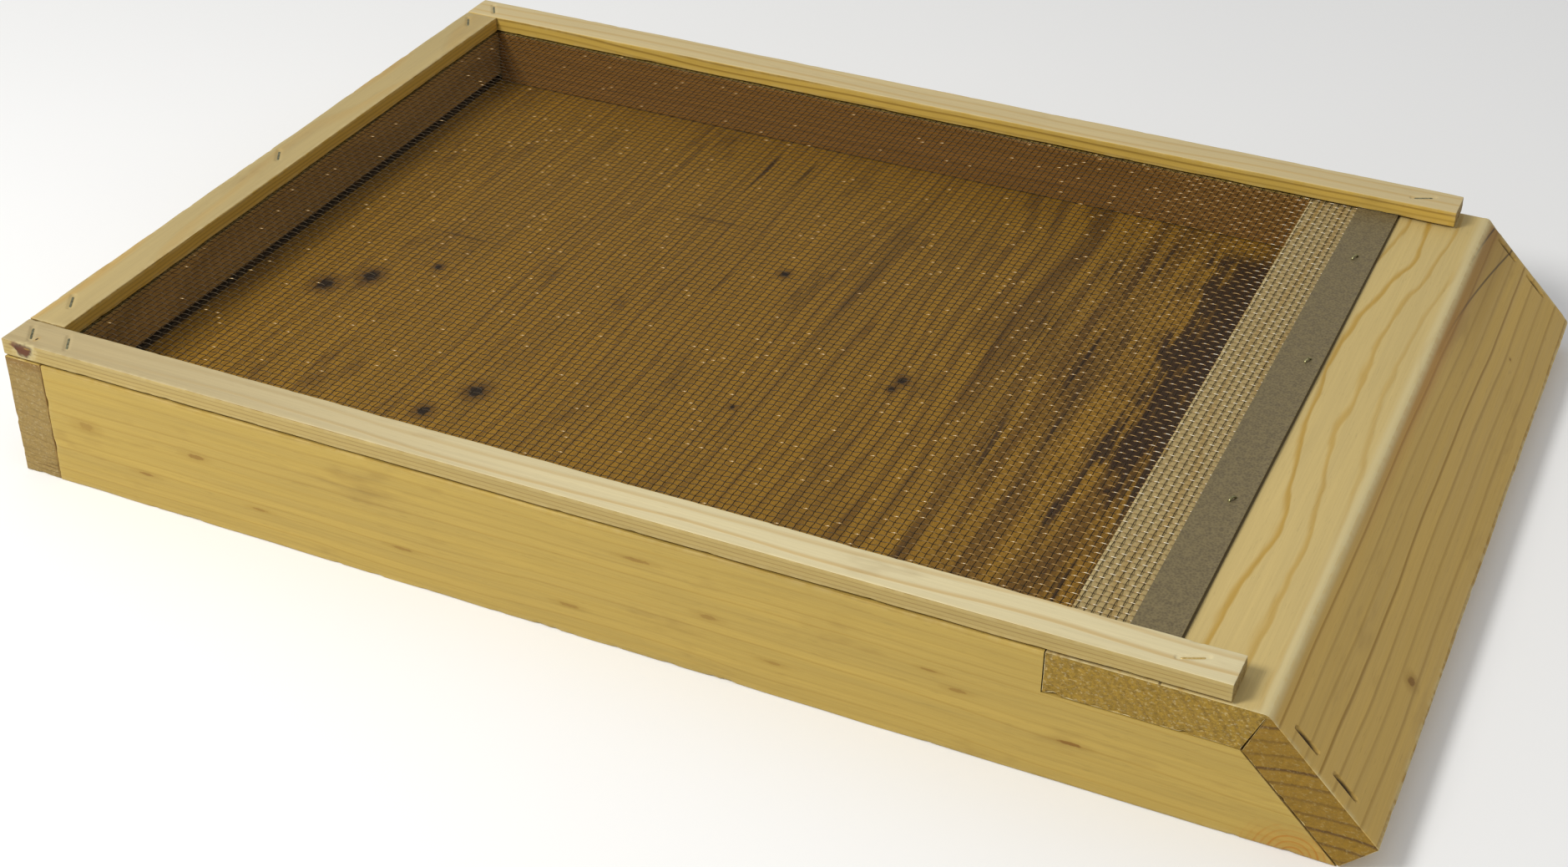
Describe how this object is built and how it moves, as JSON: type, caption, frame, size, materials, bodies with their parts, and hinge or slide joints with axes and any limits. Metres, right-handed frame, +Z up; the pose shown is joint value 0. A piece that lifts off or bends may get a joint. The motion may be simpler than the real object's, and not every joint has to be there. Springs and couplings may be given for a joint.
{
  "type": "screened hive bottom board",
  "caption": "Wooden screened bottom board for a ten-frame beehive: slanted landing board, rails that carry the hive body, woven wire floor and a slide-out mite board",
  "frame": {"origin": "on the surface the board stands on, under the middle of its box", "axes": "+X to the front, towards the landing board; +Y to the left side; +Z up"},
  "size_m": [0.6286, 0.4128, 0.0695],
  "materials": {
    "side_pine": "planed honey-yellow pine, unfinished, fine lengthwise grain",
    "rail_pine": "pale cream pine, unfinished, soft orange grain",
    "deck_pine": "cream pine, unfinished, wavy golden growth lines",
    "slope_pine": "beige-tan pine, unfinished, strong straight brown growth lines",
    "tray_wood": "brown knotty softwood panel, unfinished",
    "screen_steel": "galvanised woven wire, dull with bright knuckles",
    "strip_steel": "dull grey galvanised sheet",
    "staple_steel": "galvanised fastener wire"
  },
  "bodies": {
    "root": {"rear_board": "side_pine", "right_side_board": "side_pine", "left_side_board": "side_pine", "deck_board": "deck_pine", "landing_board": "slope_pine", "right_rail": "rail_pine", "left_rail": "rail_pine", "rear_rail": "rail_pine", "wire_screen": "screen_steel", "screen_strip": "strip_steel", "right_rail_staple_1": "staple_steel", "right_rail_staple_2": "staple_steel", "right_rail_staple_3": "staple_steel", "left_rail_staple_1": "staple_steel", "left_rail_staple_2": "staple_steel", "rear_rail_staple_1": "staple_steel", "rear_rail_staple_2": "staple_steel", "rear_rail_staple_3": "staple_steel", "landing_board_staple_1": "staple_steel", "landing_board_staple_2": "staple_steel", "landing_board_staple_3": "staple_steel", "landing_board_staple_4": "staple_steel", "deck_board_staple_1": "staple_steel", "deck_board_staple_2": "staple_steel", "deck_board_staple_3": "staple_steel", "deck_board_staple_4": "staple_steel", "strip_staple_1": "staple_steel", "strip_staple_2": "staple_steel", "strip_staple_3": "staple_steel", "rear_board_nail_1": "staple_steel", "rear_board_nail_2": "staple_steel", "rear_board_nail_3": "staple_steel", "rear_board_nail_4": "staple_steel"},
    "mite_tray": {"mite_board": "tray_wood"}
  },
  "joints": [
    {"name": "mite_board_slide", "type": "slide", "parent": "root", "child": "mite_tray", "axis": [-1, 0, 0], "range_m": [0, 0.53]}
  ]
}
